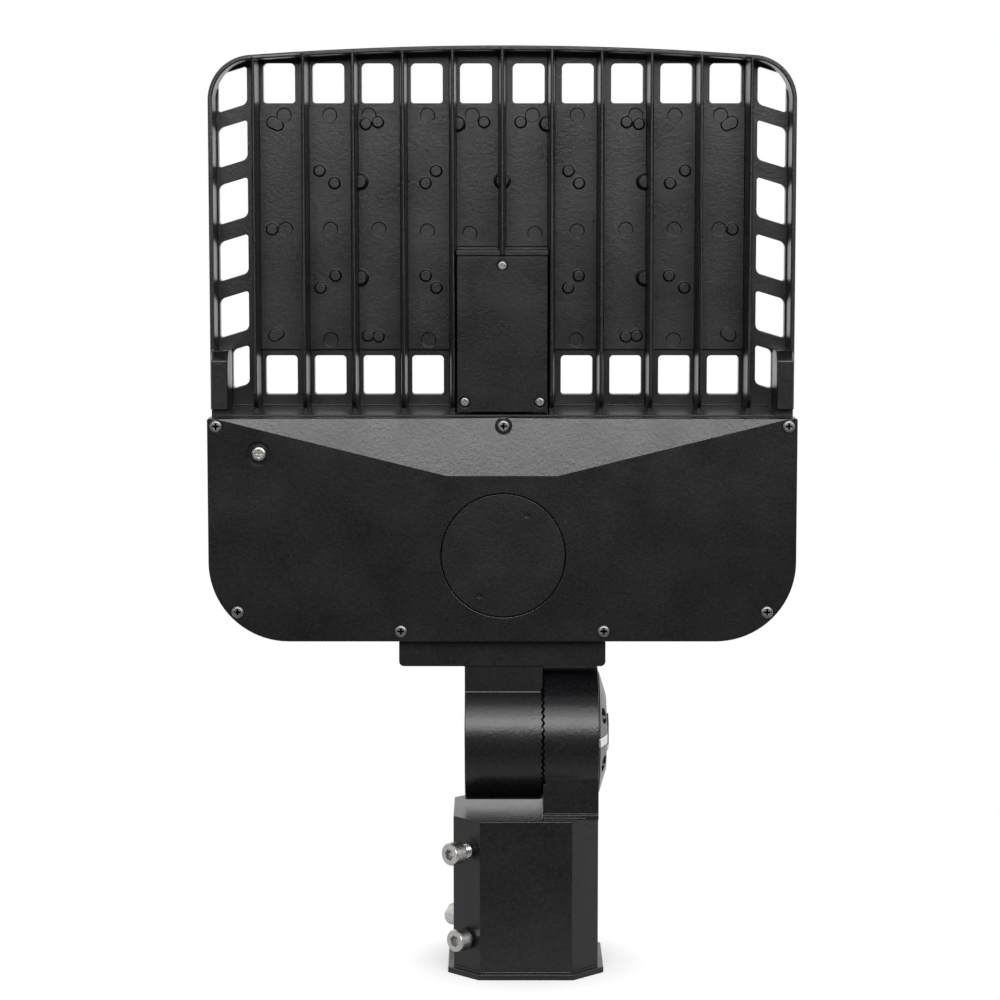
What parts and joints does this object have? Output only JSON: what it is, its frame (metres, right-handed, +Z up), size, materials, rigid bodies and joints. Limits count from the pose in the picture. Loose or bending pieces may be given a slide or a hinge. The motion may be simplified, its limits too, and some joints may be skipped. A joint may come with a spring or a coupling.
{
  "type": "shoebox area light",
  "caption": "Flat LED shoebox area light with finned heat sink, driver box and lens panels, on a slip fitter for a round tenon with a toothed tilting knuckle.",
  "frame": {"origin": "centre of the tenon bore's mouth, in the plane of the flange's underside", "axes": "+Z up the sleeve and, at rest, up the head; -Y towards the sky side with the covers; +Y towards the light side; +X along the pivot, towards its cap"},
  "size_m": [0.3308, 0.0964, 0.5282],
  "materials": {
    "cast_black": "fine-textured black powder coat on die-cast aluminium",
    "cover_black": "fine-textured black powder coat",
    "steel": "stainless steel",
    "rubber_black": "silicone rubber",
    "plastic_black": "moulded black plastic",
    "driver_case": "potted aluminium case",
    "surge_case": "potted plastic case",
    "terminal_cream": "moulded plastic",
    "lead_sleeve": "insulated lead",
    "pad_blue": "soft thermal pad",
    "board_white": "white solder mask on an aluminium core",
    "chip_yellow": "LED packages",
    "lens_clear": "clear polycarbonate"
  },
  "bodies": {
    "slip_fitter": {"tenon_sleeve": "cast_black", "pivot_bolt": "steel", "pivot_washer": "steel", "knuckle_cap": "cast_black", "tilt_pointer": "steel", "lead_grommet": "rubber_black"},
    "head": {"knuckle_bracket": "cast_black", "pivot_nut": "steel", "nut_washer": "steel", "bracket_pad": "rubber_black", "bracket_screws": "steel", "lead_bushing": "rubber_black", "heat_sink_housing": "cast_black", "driver_cover": "cover_black", "driver_cover_gasket": "rubber_black", "driver_cover_screws": "steel", "earth_screw": "steel", "photocell_blank": "plastic_black", "photocell_gasket": "rubber_black", "photocell_retainer": "plastic_black", "wiring_cover": "cover_black", "wiring_cover_gasket": "rubber_black", "wiring_cover_screws": "steel", "led_driver": "driver_case", "driver_screws": "steel", "surge_protector": "surge_case", "surge_screws": "steel", "terminal_block": "terminal_cream", "terminal_screws": "steel", "driver_leads": "lead_sleeve", "led_leads": "lead_sleeve", "thermal_pad_left": "pad_blue", "thermal_pad_right": "pad_blue", "led_board_left": "board_white", "led_board_right": "board_white", "led_chips_left": "chip_yellow", "led_chips_right": "chip_yellow", "board_screws": "steel", "lens_gasket": "rubber_black", "lens_panel_left": "lens_clear", "lens_panel_right": "lens_clear", "lens_frame": "cast_black", "lens_frame_screws": "steel"},
    "front_upper_bolt": {"set_bolt_front_upper": "steel"},
    "front_lower_bolt": {"set_bolt_front_lower": "steel"},
    "rear_bolt": {"set_bolt_rear": "steel"}
  },
  "joints": [
    {"name": "knuckle_tilt", "type": "hinge", "parent": "slip_fitter", "child": "head", "pos_m": [0, 0, 0.1355], "axis": [1, 0, 0], "range_deg": [-90, 90]},
    {"name": "front_upper_bolt_drive", "type": "slide", "parent": "slip_fitter", "child": "front_upper_bolt", "axis": [0.7071, 0.7071, 0], "range_m": [0, 0.0055]},
    {"name": "front_lower_bolt_drive", "type": "slide", "parent": "slip_fitter", "child": "front_lower_bolt", "axis": [0.7071, 0.7071, 0], "range_m": [0, 0.0015]},
    {"name": "rear_bolt_drive", "type": "slide", "parent": "slip_fitter", "child": "rear_bolt", "axis": [0.7071, -0.7071, 0], "range_m": [0, 0.0055]}
  ]
}
